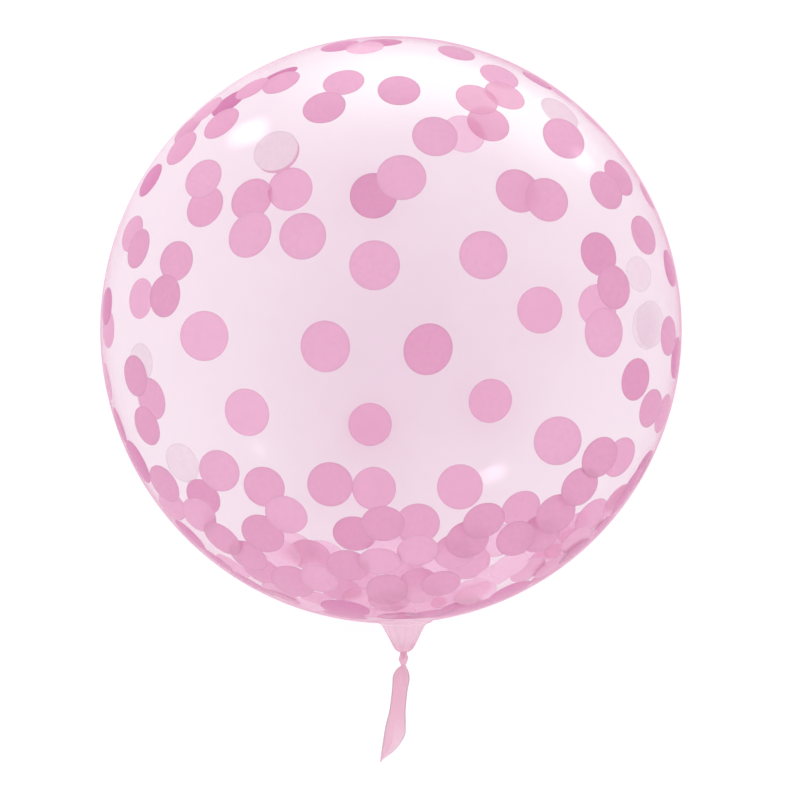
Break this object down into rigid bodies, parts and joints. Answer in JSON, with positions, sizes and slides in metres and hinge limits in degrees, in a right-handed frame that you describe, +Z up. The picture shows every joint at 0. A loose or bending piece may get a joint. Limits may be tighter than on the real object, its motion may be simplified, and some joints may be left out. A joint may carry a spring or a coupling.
{
  "type": "clear confetti sphere balloon",
  "caption": "Inflated clear film sphere balloon with loose pink paper confetti sealed inside, a gathered and knotted neck and a flat spare film tail.",
  "frame": {"origin": "middle of the small flat spot that the balloon rests on, lying on its side", "axes": "+Y from the knotted neck to the crown, +Z up, +X to the right in a view from above with the crown up"},
  "size_m": [0.4566, 0.5727, 0.4549],
  "materials": {
    "film": "gloss",
    "confetti": "matte"
  },
  "bodies": {
    "root": {"balloon": "film"}
  },
  "joints": []
}
